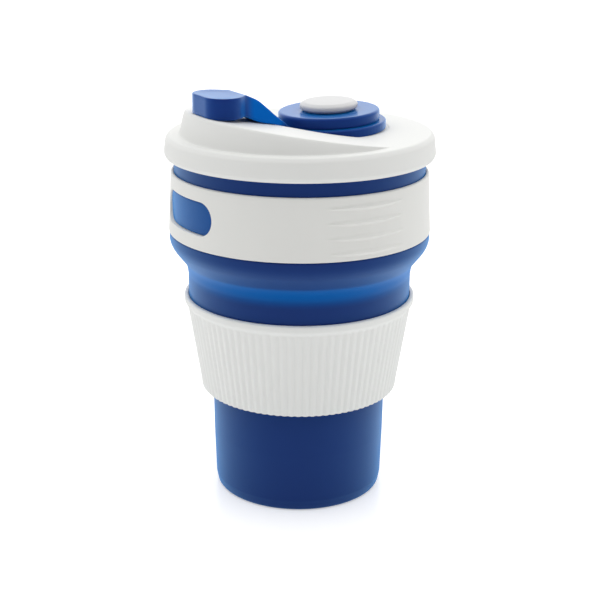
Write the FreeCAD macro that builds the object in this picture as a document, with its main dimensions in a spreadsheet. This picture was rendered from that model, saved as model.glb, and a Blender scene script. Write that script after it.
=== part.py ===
import FreeCAD, Part
import math
import os

import Sketcher

# Collapsible travel cup. Millimetres, +Z up, origin at the middle of the face it stands on.
# The drinking side points to -Y. Heights are those of the cup standing open with its lid on.

DIMENSIONS = {
    # silicone body: outer radii and heights from the floor up
    "wall": 1.8,
    "membrane": 1.1,
    "floor_thickness": 3.0,
    "foot_radius": 28.5,
    "foot_recess_radius": 22.0,
    "foot_recess_depth": 0.8,
    "foot_rounding": 1.2,
    "base_low_radius": 29.3,
    "base_low_height": 3.5,
    "base_top_radius": 30.0,
    "base_top": 36.5,
    "lower_fold_top": 53.5,
    "middle_low_radius": 34.9,
    "middle_taper_top": 66.0,
    "middle_taper_radius": 36.9,
    "middle_neck": 69.5,
    "middle_top_radius": 38.0,
    "middle_top": 79.0,
    "shoulder_top": 89.0,
    "shoulder_radius": 44.1,
    "shoulder_bend": 81.6,
    "shoulder_bend_radius": 38.8,
    "shoulder_crown": 86.8,
    "shoulder_crown_radius": 43.0,
    "band_top": 92.4,
    "upper_radius": 42.2,
    "bead_low": 118.6,
    "bead_radius": 43.1,
    "upper_top": 123.35,
    "pad_radius": 43.0,
    "pad_play": 0.1,
    # grip collar
    "fit_gap": 0.05,
    "collar_low_radius": 44.35,
    "collar_top_radius": 43.25,
    "collar_top": 112.9,
    "collar_rounding": 0.5,
    "window_height": 102.7,
    "window_half_length": 15.6,
    "window_radius": 5.45,
    # heat sleeve
    "sleeve_bottom": 36.6,
    "sleeve_wall": 1.35,
    "sleeve_low_radius": 33.75,
    "sleeve_neck": 65.5,
    "sleeve_neck_radius": 38.5,
    "sleeve_rim_radius": 39.55,
    "sleeve_rim_low": 67.2,
    "sleeve_top": 70.0,
    # lid
    "lid_bottom": 117.8,
    "lid_low_radius": 44.8,
    "lid_widest_radius": 45.35,
    "lid_widest": 119.0,
    "lid_rim_radius": 44.75,
    "lid_rim": 124.15,
    "lid_inner_radius": 43.2,
    "lid_underside": 123.4,
    "lid_floor": 125.5,
    "lid_edge_radius": 43.5,
    "plug_wall_radius": 40.3,
    "plug_wall_thickness": 1.6,
    "plug_wall_bottom": 119.0,
    "wedge_foot_radius": 39.9,
    "wedge_top_radius": 38.1,
    "wedge_top": 137.0,
    "wedge_axis_height": 127.0,
    "wedge_slope": 10.1,
    "wedge_thickness": 2.0,
    "wedge_inner_foot_radius": 37.2,
    "wedge_inner_top_radius": 35.1,
    # closure: measured from its seat in the lid
    "seat_offset": 11.35,
    "seat_height": 125.35,
    "seat_tilt": 2.7,
    "recess_radius": 20.5,
    "recess_end_radius": 7.0,
    "recess_end_offset": 19.0,
    "recess_wall": 1.8,
    "recess_floor": 2.0,
    "ring_radius": 19.0,
    "ring_bottom": 0.05,
    "ring_top": 3.0,
    "ring_rounding": 0.8,
    "disc_radius": 17.05,
    "disc_bottom": 3.05,
    "disc_top": 6.7,
    "disc_rounding": 1.1,
    "pin_radius": 2.5,
    "pin_play": 0.06,
    "pin_bottom": -3.95,
    "neck_radius": 6.8,
    "neck_bottom": 6.75,
    "knob_radius": 9.6,
    "knob_bottom": 7.0,
    "knob_edge": 8.3,
    "knob_shoulder_radius": 8.2,
    "knob_shoulder": 9.4,
    "knob_top": 9.8,
    "washer_radius": 6.0,
    "washer_bottom": -3.35,
    "washer_top": -2.3,
    # stopper and strap: distances from the lid's axis towards the drinking side
    "drill_length": 16.0,
    "hole_distance": 30.0,
    "hole_radius": 5.06,
    "plug_top_radius": 5.0,
    "plug_end_radius": 3.4,
    "plug_length": 5.2,
    "stopper_top": 140.1,
    "stopper_end": 36.8,
    "stopper_half_width": 10.4,
    "stopper_start": 24.0,
    "stopper_start_half_width": 8.2,
    "strap_root": 8.4,
    "strap_half_width": 6.0,
    "tongue_start": 5.0,
    "tongue_bend": 6.2,
    "tongue_low": 124.8,
    "tongue_step": 127.2,
    "tongue_top": 129.4,
    "tongue_root_low": 127.0,
}

STANDARD_REACH = 60.0  # half the size of the blocks that trim the lid, larger than the whole lid

doc = FreeCAD.newDocument("TravelCup")
sheet = doc.addObject("Spreadsheet::Sheet", "Dims")


def fill_sheet():
    """Writes the driving dimensions as plain numbers with their aliases."""
    for row, (alias, value) in enumerate(DIMENSIONS.items(), start=1):
        sheet.set(f"A{row}", alias)
        sheet.set(f"B{row}", str(value))
        sheet.setAlias(f"B{row}", alias)
    doc.recompute()


def size(formula):
    """The value of a formula of sheet aliases."""
    return float(sheet.evalExpression(formula))


def bound(formula):
    """The formula as another object of the document writes it, with the sheet's name on each alias."""
    words = formula.replace("(", "( ").replace(")", " )").split()
    return " ".join(f"Dims.{word}" if word in DIMENSIONS else word for word in words)


def origin_plane(body, role):
    return next(o for o in body.Origin.OriginFeatures if o.Role == role)


def new_sketch(body, name, role):
    sketch = body.newObject("Sketcher::SketchObject", name)
    sketch.AttachmentSupport = [(origin_plane(body, role), "")]
    sketch.MapMode = "FlatFace"
    return sketch


def pin_point(sketch, edge, kind, formula):
    """Fixes the start point of an edge at a sheet dimension from the sketch's origin."""
    index = sketch.addConstraint(Sketcher.Constraint(kind, -1, 1, edge, 1, size(formula)))
    sketch.setExpression(f"Constraints[{index}]", bound(formula))


def closed_outline(sketch, outline):
    """Draws a closed polygon of (across, up) formulas and binds each corner to the sheet."""
    corners = [FreeCAD.Vector(size(across), size(up), 0) for across, up in outline]
    count = len(corners)
    for i in range(count):
        sketch.addGeometry(Part.LineSegment(corners[i], corners[(i + 1) % count]), False)
    for i in range(count):
        sketch.addConstraint(Sketcher.Constraint("Coincident", i, 2, (i + 1) % count, 1))
    for i, (across, up) in enumerate(outline):
        if across == "0":
            sketch.addConstraint(Sketcher.Constraint("PointOnObject", i, 1, -2))
        else:
            pin_point(sketch, i, "DistanceX", across)
        pin_point(sketch, i, "DistanceY", up)


def turned(label, outline):
    """A body of revolution about Z from its outline of (radius, height) formulas."""
    body = doc.addObject("PartDesign::Body", label)
    sketch = new_sketch(body, f"{label}_outline", "XZ_Plane")
    closed_outline(sketch, outline)
    turn = body.newObject("PartDesign::Revolution", f"{label}_turn")
    turn.Profile = sketch
    turn.ReferenceAxis = (sketch, ["V_Axis"])
    turn.Angle = 360
    doc.recompute()
    return body


def round_rings(body, radius, *rings):
    """Rounds the circular edges of a turned body at the given (radius, height) formulas."""
    wanted = [(size(r), size(z)) for r, z in rings]
    edges = []
    for number, edge in enumerate(body.Tip.Shape.Edges, start=1):
        if isinstance(edge.Curve, Part.Circle):
            here = (edge.Curve.Radius, edge.Curve.Center.z)
            if any(math.dist(here, ring) < 0.01 for ring in wanted):
                edges.append(f"Edge{number}")
    turn = body.Tip
    fillet = body.newObject("PartDesign::Fillet", f"{body.Label}_rounding")
    fillet.Base = (turn, edges)
    fillet.setExpression("Radius", bound(radius))
    doc.recompute()


def closure_frame():
    """The tilted seat of the closure in the lid."""
    seat = FreeCAD.Vector(0, size("seat_offset"), size("seat_height"))
    return FreeCAD.Placement(seat, FreeCAD.Rotation(FreeCAD.Vector(1, 0, 0), size("seat_tilt")))


def wedge_frame(distance):
    """A point on the lid's inclined top, that far from the axis, with its normal as Z."""
    rise = distance * math.tan(math.radians(size("wedge_slope")))
    point = FreeCAD.Vector(0, -distance, size("wedge_axis_height") + rise)
    return FreeCAD.Placement(point, FreeCAD.Rotation(FreeCAD.Vector(1, 0, 0), -size("wedge_slope")))


def below(label, placement, drop):
    """A large block whose top face is the XY plane of the placement, lowered by drop."""
    block = doc.addObject("Part::Box", label)
    block.Length = 2 * STANDARD_REACH
    block.Width = 2 * STANDARD_REACH
    block.Height = STANDARD_REACH
    corner = FreeCAD.Vector(-STANDARD_REACH, -STANDARD_REACH, -STANDARD_REACH - drop)
    block.Placement = placement.multiply(FreeCAD.Placement(corner, FreeCAD.Rotation()))
    return block


def combine(kind, label, first, second):
    """A Part boolean, Cut, Fuse or Common, of two objects."""
    result = doc.addObject(f"Part::{kind}", label)
    result.Base = first
    result.Tool = second
    return result


def raised(placement, height):
    """The same frame moved along its own Z."""
    return placement.multiply(FreeCAD.Placement(FreeCAD.Vector(0, 0, height), FreeCAD.Rotation()))


def cylinder(label, radius, height, placement):
    """A cylinder whose radius and height are bound to the sheet."""
    rod = doc.addObject("Part::Cylinder", label)
    rod.setExpression("Radius", bound(radius))
    rod.setExpression("Height", bound(height))
    rod.Placement = placement
    return rod


def slot_prism(label, half_length, radius):
    """An oblong prism along Y at the height of the collar's windows."""
    body = doc.addObject("PartDesign::Body", label)
    sketch = new_sketch(body, f"{label}_outline", "XZ_Plane")
    reach = size(half_length) - size(radius)
    middle = size("window_height")
    low = middle - size(radius)
    high = middle + size(radius)
    corners = [FreeCAD.Vector(x, z, 0) for x, z in
               ((-reach, low), (reach, low), (reach, high), (-reach, high))]
    right = Part.Circle(FreeCAD.Vector(reach, middle, 0), FreeCAD.Vector(0, 0, 1), size(radius))
    left = Part.Circle(FreeCAD.Vector(-reach, middle, 0), FreeCAD.Vector(0, 0, 1), size(radius))
    quarter = math.pi / 2
    sketch.addGeometry(Part.LineSegment(corners[0], corners[1]), False)
    sketch.addGeometry(Part.ArcOfCircle(right, -quarter, quarter), False)
    sketch.addGeometry(Part.LineSegment(corners[2], corners[3]), False)
    sketch.addGeometry(Part.ArcOfCircle(left, quarter, 3 * quarter), False)
    joins = ((0, 2, 1, 1), (1, 2, 2, 1), (2, 2, 3, 1), (3, 2, 0, 1))
    for join in joins:
        sketch.addConstraint(Sketcher.Constraint("Tangent", *join))
    sketch.addConstraint(Sketcher.Constraint("Horizontal", 0))
    sketch.addConstraint(Sketcher.Constraint("Symmetric", 1, 3, 3, 3, -2))
    bindings = (
        ("Radius", (1, size(radius)), radius),
        ("DistanceX", (-1, 1, 1, 3, reach), f"{half_length} - {radius}"),
        ("DistanceY", (-1, 1, 1, 3, middle), "window_height"),
    )
    for kind, values, formula in bindings:
        index = sketch.addConstraint(Sketcher.Constraint(kind, *values))
        sketch.setExpression(f"Constraints[{index}]", bound(formula))
    pad = body.newObject("PartDesign::Pad", f"{label}_pad")
    pad.Profile = sketch
    pad.Length = 2 * STANDARD_REACH
    pad.Midplane = True
    doc.recompute()
    return body


def teardrop_face(offset):
    """The recess's plan: a large circle and a small one towards -Y, joined by their tangents."""
    big = size("recess_radius") + offset
    small = size("recess_end_radius") + offset
    gap = size("recess_end_offset")
    lean = math.acos((big - small) / gap)

    def on_circle(radius, centre_y, angle):
        return FreeCAD.Vector(radius * math.sin(angle), centre_y - radius * math.cos(angle), 0)

    right = on_circle(big, 0, lean)
    left = on_circle(big, 0, -lean)
    right_end = on_circle(small, -gap, lean)
    left_end = on_circle(small, -gap, -lean)
    edges = [
        Part.Arc(right, on_circle(big, 0, math.pi), left).toShape(),
        Part.LineSegment(left, left_end).toShape(),
        Part.Arc(left_end, on_circle(small, -gap, 0), right_end).toShape(),
        Part.LineSegment(right_end, right).toShape(),
    ]
    return Part.Face(Part.Wire(edges))


def teardrop_prism(label, offset, bottom, top):
    """A prism of the recess's plan, grown by offset, between two heights above the seat."""
    face = teardrop_face(offset)
    face.translate(FreeCAD.Vector(0, 0, bottom))
    prism = doc.addObject("Part::Feature", label)
    prism.Shape = face.extrude(FreeCAD.Vector(0, 0, top - bottom))
    prism.Placement = closure_frame()
    return prism


# ---- silicone body ----


def make_base_section():
    body = turned("base_section", [
        ("0", "foot_recess_depth"),
        ("foot_recess_radius", "foot_recess_depth"),
        ("foot_recess_radius + foot_recess_depth", "0"),
        ("foot_radius", "0"),
        ("base_low_radius", "base_low_height"),
        ("base_top_radius", "base_top"),
        ("base_top_radius - wall", "base_top"),
        ("base_low_radius - wall", "floor_thickness"),
        ("0", "floor_thickness"),
    ])
    round_rings(body, "foot_rounding", ("foot_radius", "0"))
    return body


def make_lower_fold():
    return turned("lower_fold", [
        ("base_top_radius - membrane", "base_top"),
        ("base_top_radius", "base_top"),
        ("middle_low_radius", "lower_fold_top"),
        ("middle_low_radius - membrane", "lower_fold_top"),
    ])


def make_middle_section():
    return turned("middle_section", [
        ("middle_low_radius - wall", "lower_fold_top"),
        ("middle_low_radius", "lower_fold_top"),
        ("middle_taper_radius", "middle_taper_top"),
        ("middle_top_radius", "middle_neck"),
        ("middle_top_radius", "middle_top"),
        ("middle_top_radius - wall", "middle_top"),
        ("middle_top_radius - wall", "middle_neck"),
        ("middle_taper_radius - wall", "middle_taper_top"),
    ])


def make_upper_fold():
    return turned("upper_fold", [
        ("middle_top_radius - membrane", "middle_top"),
        ("middle_top_radius", "middle_top"),
        ("shoulder_bend_radius", "shoulder_bend"),
        ("shoulder_crown_radius", "shoulder_crown"),
        ("shoulder_radius", "shoulder_top"),
        ("shoulder_radius - wall", "shoulder_top"),
        ("shoulder_crown_radius - 0.8 * membrane", "shoulder_crown + 0.6 * membrane"),
        ("shoulder_bend_radius - 0.8 * membrane", "shoulder_bend + 0.6 * membrane"),
    ])


def make_upper_section():
    """The wall behind the collar, with a bead at the top and two pads that fill the windows."""
    wall = turned("upper_wall", [
        ("shoulder_radius - wall", "shoulder_top"),
        ("shoulder_radius", "shoulder_top"),
        ("shoulder_radius", "band_top"),
        ("upper_radius", "band_top"),
        ("upper_radius", "bead_low - 1"),
        ("bead_radius", "bead_low"),
        ("bead_radius", "upper_top"),
        ("upper_radius - wall", "upper_top"),
        ("upper_radius - wall", "band_top + wall"),
    ])
    pads_outside = cylinder("pads_outside", "pad_radius", "upper_top", FreeCAD.Placement())
    pads_inside = cylinder("pads_inside", "upper_radius - 0.2", "upper_top", FreeCAD.Placement())
    pad_ring = combine("Cut", "pad_ring", pads_outside, pads_inside)
    pad_prism = slot_prism("pad_prism", "window_half_length", "window_radius - pad_play")
    pads = combine("Common", "pads", pad_ring, pad_prism)
    return combine("Fuse", "upper_section", wall, pads)


# ---- hard rings ----


def make_grip_collar():
    ring = turned("collar_ring", [
        ("upper_radius + fit_gap", "band_top"),
        ("collar_low_radius", "band_top"),
        ("collar_top_radius", "collar_top"),
        ("upper_radius + fit_gap", "collar_top"),
    ])
    round_rings(ring, "collar_rounding",
                ("collar_low_radius", "band_top"), ("collar_top_radius", "collar_top"))
    window = slot_prism("window_prism", "window_half_length", "window_radius")
    return combine("Cut", "grip_collar", ring, window)


def make_heat_sleeve():
    body = turned("heat_sleeve", [
        ("sleeve_low_radius - sleeve_wall", "sleeve_bottom"),
        ("sleeve_low_radius", "sleeve_bottom"),
        ("sleeve_neck_radius", "sleeve_neck"),
        ("sleeve_rim_radius", "sleeve_rim_low"),
        ("sleeve_rim_radius", "sleeve_top"),
        ("middle_top_radius + fit_gap", "sleeve_top"),
        ("middle_top_radius + fit_gap", "middle_neck"),
        ("middle_taper_radius + fit_gap", "middle_taper_top"),
        ("middle_low_radius + fit_gap", "lower_fold_top"),
    ])
    round_rings(body, "collar_rounding",
                ("sleeve_rim_radius", "sleeve_rim_low"), ("sleeve_rim_radius", "sleeve_top"))
    return body


# ---- lid ----


def make_lid_blank():
    """Skirt, plate and plug wall with a full frustum on top, trimmed to the inclined top."""
    frustum = turned("lid_blank", [
        ("0", "lid_underside"),
        ("plug_wall_radius - plug_wall_thickness", "lid_underside"),
        ("plug_wall_radius - plug_wall_thickness", "plug_wall_bottom"),
        ("plug_wall_radius", "plug_wall_bottom"),
        ("plug_wall_radius", "lid_underside"),
        ("lid_inner_radius", "lid_underside"),
        ("lid_inner_radius", "lid_bottom"),
        ("lid_low_radius", "lid_bottom"),
        ("lid_widest_radius", "lid_widest"),
        ("lid_rim_radius", "lid_rim"),
        ("lid_edge_radius", "lid_floor"),
        ("wedge_foot_radius", "lid_floor"),
        ("wedge_top_radius", "wedge_top"),
        ("0", "wedge_top"),
    ])
    plate_level = FreeCAD.Placement(FreeCAD.Vector(0, 0, size("lid_floor")), FreeCAD.Rotation())
    kept = combine("Fuse", "kept_space", below("below_top", wedge_frame(0), 0),
                   below("below_plate", plate_level, 0))
    return combine("Common", "lid_solid", frustum, kept)


def make_wedge_hollow():
    """The space under the inclined top, clear of the recess's own wall."""
    cone = doc.addObject("Part::Cone", "hollow_cone")
    cone.setExpression("Radius1", bound("wedge_inner_foot_radius"))
    cone.setExpression("Radius2", bound("wedge_inner_top_radius"))
    cone.setExpression("Height", bound("wedge_top - lid_underside"))
    cone.Placement.Base = FreeCAD.Vector(0, 0, size("lid_underside"))
    under_top = below("under_top", wedge_frame(0), size("wedge_thickness"))
    full_hollow = combine("Common", "full_hollow", cone, under_top)
    recess_block = teardrop_prism("recess_block", size("recess_wall"), -STANDARD_REACH / 2,
                                  STANDARD_REACH / 2)
    return combine("Cut", "wedge_hollow", full_hollow, recess_block)


def make_lid():
    shell = combine("Cut", "lid_shell", make_lid_blank(), make_wedge_hollow())
    floor_pad = teardrop_prism("recess_floor_pad", size("recess_wall"), -size("recess_floor"), 0)
    floored = combine("Fuse", "lid_floored", shell, floor_pad)
    recess = teardrop_prism("recess", 0, 0, STANDARD_REACH / 2)
    recessed = combine("Cut", "lid_recessed", floored, recess)
    pin_place = raised(closure_frame(), -size("drill_length") / 2)
    pin_hole = cylinder("pin_hole", "pin_radius + pin_play", "drill_length", pin_place)
    drilled = combine("Cut", "lid_drilled", recessed, pin_hole)
    mouth_place = raised(wedge_frame(size("hole_distance")), -size("drill_length") / 2)
    sip_hole = cylinder("sip_hole", "hole_radius", "drill_length", mouth_place)
    return combine("Cut", "lid", drilled, sip_hole)


# ---- closure ----


def make_strap_ring():
    """The ring around the pin, with a short tongue up to the root of the strap."""
    ring = turned("ring_plate", [
        ("pin_radius + pin_play", "ring_bottom"),
        ("ring_radius", "ring_bottom"),
        ("ring_radius", "ring_top"),
        ("pin_radius + pin_play", "ring_top"),
    ])
    round_rings(ring, "ring_rounding", ("ring_radius", "ring_top"))
    ring.Placement = closure_frame()
    tongue = doc.addObject("PartDesign::Body", "tongue")
    sketch = new_sketch(tongue, "tongue_outline", "YZ_Plane")
    closed_outline(sketch, [
        ("0 - tongue_start", "tongue_low"),
        ("0 - tongue_start", "tongue_step"),
        ("0 - tongue_bend", "tongue_step"),
        ("0 - tongue_bend - 1", "tongue_top - 1"),
        ("0 - strap_root", "tongue_top"),
        ("0 - strap_root", "tongue_root_low"),
        ("0 - tongue_bend - 1", "tongue_low"),
    ])
    pad = tongue.newObject("PartDesign::Pad", "tongue_pad")
    pad.Profile = sketch
    pad.setExpression("Length", "2 * Dims.strap_half_width")
    pad.Midplane = True
    doc.recompute()
    return combine("Fuse", "strap_ring", ring, tongue)


def make_pivot_disc():
    disc = turned("pivot_disc", [
        ("pin_radius + pin_play", "disc_bottom"),
        ("disc_radius", "disc_bottom"),
        ("disc_radius", "disc_top"),
        ("pin_radius + pin_play", "disc_top"),
    ])
    round_rings(disc, "disc_rounding", ("disc_radius", "disc_bottom"), ("disc_radius", "disc_top"))
    disc.Placement = closure_frame()
    return disc


def make_pivot_button():
    """A domed knob on a neck, with the pin that runs down through disc, ring and lid."""
    knob = turned("pivot_button", [
        ("0", "pin_bottom"),
        ("pin_radius", "pin_bottom"),
        ("pin_radius", "neck_bottom"),
        ("neck_radius", "neck_bottom"),
        ("neck_radius", "knob_bottom"),
        ("knob_radius - 0.6", "knob_bottom"),
        ("knob_radius", "knob_edge - 0.7"),
        ("knob_radius", "knob_edge"),
        ("knob_shoulder_radius", "knob_shoulder"),
        ("knob_shoulder_radius - 3", "knob_top - 0.1"),
        ("0", "knob_top"),
    ])
    knob.Placement = closure_frame()
    return knob


def make_retaining_ring():
    washer = turned("retaining_ring", [
        ("pin_radius + fit_gap", "washer_bottom"),
        ("washer_radius", "washer_bottom"),
        ("washer_radius", "washer_top"),
        ("pin_radius + fit_gap", "washer_top"),
    ])
    washer.Placement = closure_frame()
    return washer


def side_spline(points):
    """A smooth edge in the YZ plane through (distance towards the drinking side, height)."""
    curve = Part.BSplineCurve()
    curve.interpolate([FreeCAD.Vector(0, -distance, height) for distance, height in points])
    return curve.toShape()


def make_strap():
    """A thick strap that rises in an S from its root to the stopper, clear of the lid."""
    root = size("strap_root")
    end = size("stopper_start")
    crest = size("stopper_top")
    top = side_spline(((root, size("tongue_top")), (12.8, 132.9), (16.1, 135.8), (19.2, 138.2),
                       (22.0, 139.5), (end, crest)))
    bottom = side_spline(((root, size("tongue_root_low")), (12.9, 129.6), (16.5, 130.4),
                          (19.4, 131.2), (end, 132.8)))
    near = Part.LineSegment(bottom.Vertexes[0].Point, top.Vertexes[0].Point).toShape()
    far = Part.LineSegment(top.Vertexes[-1].Point, bottom.Vertexes[-1].Point).toShape()
    side = Part.Face(Part.Wire([near, top, far, bottom]))
    half = size("strap_half_width")
    side.translate(FreeCAD.Vector(-half, 0, 0))
    strap = doc.addObject("Part::Feature", "strap")
    strap.Shape = side.extrude(FreeCAD.Vector(2 * half, 0, 0))
    return strap


def stopper_plan():
    """Plan of the stopper's cap: it widens from the strap and ends in an arc along the lid."""
    half = size("stopper_half_width")
    end = size("stopper_end")
    start = (size("stopper_start_half_width"), size("stopper_start"))
    side = (start, (half - 0.9, 26.3), (half, 29.0), (half - 0.7, end - 4.4))
    corner = (half - 2.4, end - 2.3)
    tip = (half - 6.0, end - 0.2)

    def at(point, mirror):
        return FreeCAD.Vector(mirror * point[0], -point[1], 0)

    edges = []
    for mirror in (1, -1):
        curve = Part.BSplineCurve()
        curve.interpolate([at(point, mirror) for point in side])
        edges.append(curve.toShape())
        edges.append(Part.Arc(at(side[-1], mirror), at(corner, mirror), at(tip, mirror)).toShape())
    edges.append(Part.Arc(at(tip, 1), at((0, end), 1), at(tip, -1)).toShape())
    edges.append(Part.LineSegment(at(start, 1), at(start, -1)).toShape())
    return Part.Face(Part.Wire(Part.__sortEdges__(edges)))


def make_stopper():
    """Cap that rests on the inclined top, and a tapered plug that fills the sip hole."""
    plan = stopper_plan()
    floor_height = size("lid_floor")
    plan.translate(FreeCAD.Vector(0, 0, floor_height))
    block = doc.addObject("Part::Feature", "cap_block")
    block.Shape = plan.extrude(FreeCAD.Vector(0, 0, size("stopper_top") - floor_height))
    cap = combine("Cut", "cap", block, below("below_cap", wedge_frame(0), -size("fit_gap")))
    plug = doc.addObject("Part::Cone", "plug")
    plug.setExpression("Radius1", bound("plug_end_radius"))
    plug.setExpression("Radius2", bound("plug_top_radius"))
    plug.setExpression("Height", bound("plug_length + 2 * fit_gap"))
    plug.Placement = raised(wedge_frame(size("hole_distance")), -size("plug_length"))
    return combine("Fuse", "stopper", cap, plug)


MAKERS = {
    "base_section": make_base_section,
    "lower_fold": make_lower_fold,
    "middle_section": make_middle_section,
    "upper_fold": make_upper_fold,
    "upper_section": make_upper_section,
    "grip_collar": make_grip_collar,
    "heat_sleeve": make_heat_sleeve,
    "lid": make_lid,
    "strap_ring": make_strap_ring,
    "strap": make_strap,
    "stopper": make_stopper,
    "pivot_disc": make_pivot_disc,
    "pivot_button": make_pivot_button,
    "retaining_ring": make_retaining_ring,
}


def check_document():
    """Stops if any object of the document failed to build."""
    doc.recompute()
    for item in doc.Objects:
        if "Invalid" in item.State or "Error" in item.State:
            raise RuntimeError(f"{item.Label} failed: {item.State}")


def write_parts(made):
    """Checks each sub-part's solid, and writes it under its own name."""
    for name, item in made.items():
        if item.Label != name:
            raise RuntimeError(f"{name} is labelled {item.Label}")
        shape = item.Shape
        if shape.isNull() or not shape.isValid() or len(shape.Solids) != 1:
            raise RuntimeError(f"{name} isn't one valid solid")
    for name, item in made.items():
        item.Shape.exportStep(os.path.join("parts", f"{name}.step"))
        print(f"{name}: {item.Shape.Volume:.1f} mm3")


fill_sheet()
parts = {name: make() for name, make in MAKERS.items()}
check_document()
os.makedirs("parts", exist_ok=True)
write_parts(parts)
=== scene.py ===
import math

import bmesh
import bpy
import numpy
from mathutils import Matrix, Vector
from mathutils.geometry import delaunay_2d_cdt


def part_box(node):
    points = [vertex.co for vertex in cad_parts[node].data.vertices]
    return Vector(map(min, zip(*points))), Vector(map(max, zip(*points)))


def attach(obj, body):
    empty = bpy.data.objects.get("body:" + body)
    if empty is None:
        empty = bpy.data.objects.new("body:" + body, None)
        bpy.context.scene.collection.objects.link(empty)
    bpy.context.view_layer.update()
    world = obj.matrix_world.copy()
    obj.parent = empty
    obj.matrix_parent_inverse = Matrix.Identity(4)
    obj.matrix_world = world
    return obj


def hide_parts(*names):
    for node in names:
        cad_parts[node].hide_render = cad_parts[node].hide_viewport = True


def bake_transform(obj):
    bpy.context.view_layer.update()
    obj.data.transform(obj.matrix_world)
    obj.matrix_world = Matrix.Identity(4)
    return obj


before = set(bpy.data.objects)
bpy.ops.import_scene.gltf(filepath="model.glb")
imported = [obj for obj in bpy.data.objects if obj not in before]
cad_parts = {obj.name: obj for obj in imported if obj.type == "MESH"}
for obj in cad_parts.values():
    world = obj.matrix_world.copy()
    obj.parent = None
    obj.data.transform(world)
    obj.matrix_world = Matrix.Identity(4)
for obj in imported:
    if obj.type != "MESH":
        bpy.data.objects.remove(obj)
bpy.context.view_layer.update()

MM = 0.001
TURN = 2 * math.pi

# ---- places from the frame ----

nodes = {name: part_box(name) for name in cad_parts}


def low(node):
    return nodes[node][0].z


def high(node):
    return nodes[node][1].z


def reach(node):
    """Radius of a turned node."""
    return nodes[node][1].x


BASE_TOP = high("base_section")
FOLD_TOP = high("lower_fold")
SHOULDER_TOP = high("upper_fold")
CUP_TOP = high("upper_section")
COLLAR_LOW = low("grip_collar")
COLLAR_TOP = high("grip_collar")
SLEEVE_LOW = low("heat_sleeve")
SLEEVE_TOP = high("heat_sleeve")
BASE_RADIUS = reach("base_section")
FOLD_RADIUS = reach("lower_fold")
MIDDLE_RADIUS = reach("middle_section")
BAND_RADIUS = reach("upper_section")
COLLAR_RADIUS = reach("grip_collar")
SLEEVE_RADIUS = reach("heat_sleeve")
STOPPER_TOP = high("stopper")

# ---- details that the frame doesn't hold, in metres ----

WALL = 1.8 * MM
MEMBRANE = 1.15 * MM  # the wall where it folds
SEAM = 60.0 * MM  # where the two silicone meshes meet, behind the sleeve
SEAM_RADIUS = 35.94 * MM
UPPER_WALL_RADIUS = 42.2 * MM
BEAD_RADIUS = 43.1 * MM
COLLAR_TOP_RADIUS = 43.25 * MM
WINDOW_HALF = 15.6 * MM
WINDOW_RADIUS = 5.45 * MM
WINDOW_HEIGHT = 102.7 * MM
SHARP = math.radians(40)  # edges sharper than this aren't shaded smooth

# ---- meshes ----


def make_object(name, verts, faces):
    mesh = bpy.data.meshes.new(name)
    mesh.from_pydata([tuple(v) for v in verts], [], faces)
    mesh.validate()
    bm = bmesh.new()
    bm.from_mesh(mesh)
    bmesh.ops.remove_doubles(bm, verts=bm.verts, dist=1e-7)
    bmesh.ops.recalc_face_normals(bm, faces=bm.faces)
    bm.to_mesh(mesh)
    bm.free()
    for polygon in mesh.polygons:
        polygon.use_smooth = True
    mesh.set_sharp_from_angle(angle=SHARP)
    obj = bpy.data.objects.new(name, mesh)
    bpy.context.scene.collection.objects.link(obj)
    return obj


def quarter_turns(count):
    """Angles from 0 to a quarter turn."""
    return [math.pi / 2 * k / count for k in range(count + 1)]


def corner_arc(before, corner, after, radius, steps):
    """Points of an arc of that radius, or the largest that fits, in place of a corner."""
    to_before = Vector(before) - Vector(corner)
    to_after = Vector(after) - Vector(corner)
    shorter = min(to_before.length, to_after.length)
    if radius <= 0 or shorter < 1e-9:
        return [Vector(corner)] * (steps + 1)
    half = to_before.angle(to_after) / 2
    if half > math.radians(89.5):
        return [Vector(corner)] * (steps + 1)
    setback = min(radius / math.tan(half), 0.48 * shorter)
    radius = setback * math.tan(half)
    to_before.normalize()
    to_after.normalize()
    centre = Vector(corner) + (to_before + to_after).normalized() * (radius / math.sin(half))
    start = Vector(corner) + to_before * setback - centre
    end = Vector(corner) + to_after * setback - centre
    sweep = start.angle(end)
    turn = 1 if start.cross(end) > 0 else -1
    arc = []
    for i in range(steps + 1):
        a = turn * sweep * i / steps
        arc.append(centre + Matrix.Rotation(a, 2) @ start)
    return arc


def rounded(corners, steps=6, closed=True):
    """A line of (radius, height, rounding) corners with each corner replaced by an arc."""
    count = len(corners)
    line = []
    for i, (r, z, rounding) in enumerate(corners):
        on_end = not closed and i in (0, count - 1)
        if rounding == 0 or on_end:
            line.append(Vector((r, z)))
            continue
        before = corners[i - 1][:2]
        after = corners[(i + 1) % count][:2]
        line += corner_arc(before, (r, z), after, rounding, steps)
    return line


def divided(line, step):
    """The same closed line with no stretch longer than step."""
    out = []
    for i, point in enumerate(line):
        out.append(point)
        after = line[(i + 1) % len(line)]
        parts = int((after - point).length / step)
        on_axis = point.x < 1e-9 and after.x < 1e-9
        if not on_axis:
            out += [point.lerp(after, k / (parts + 1)) for k in range(1, parts + 1)]
    return out


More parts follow.
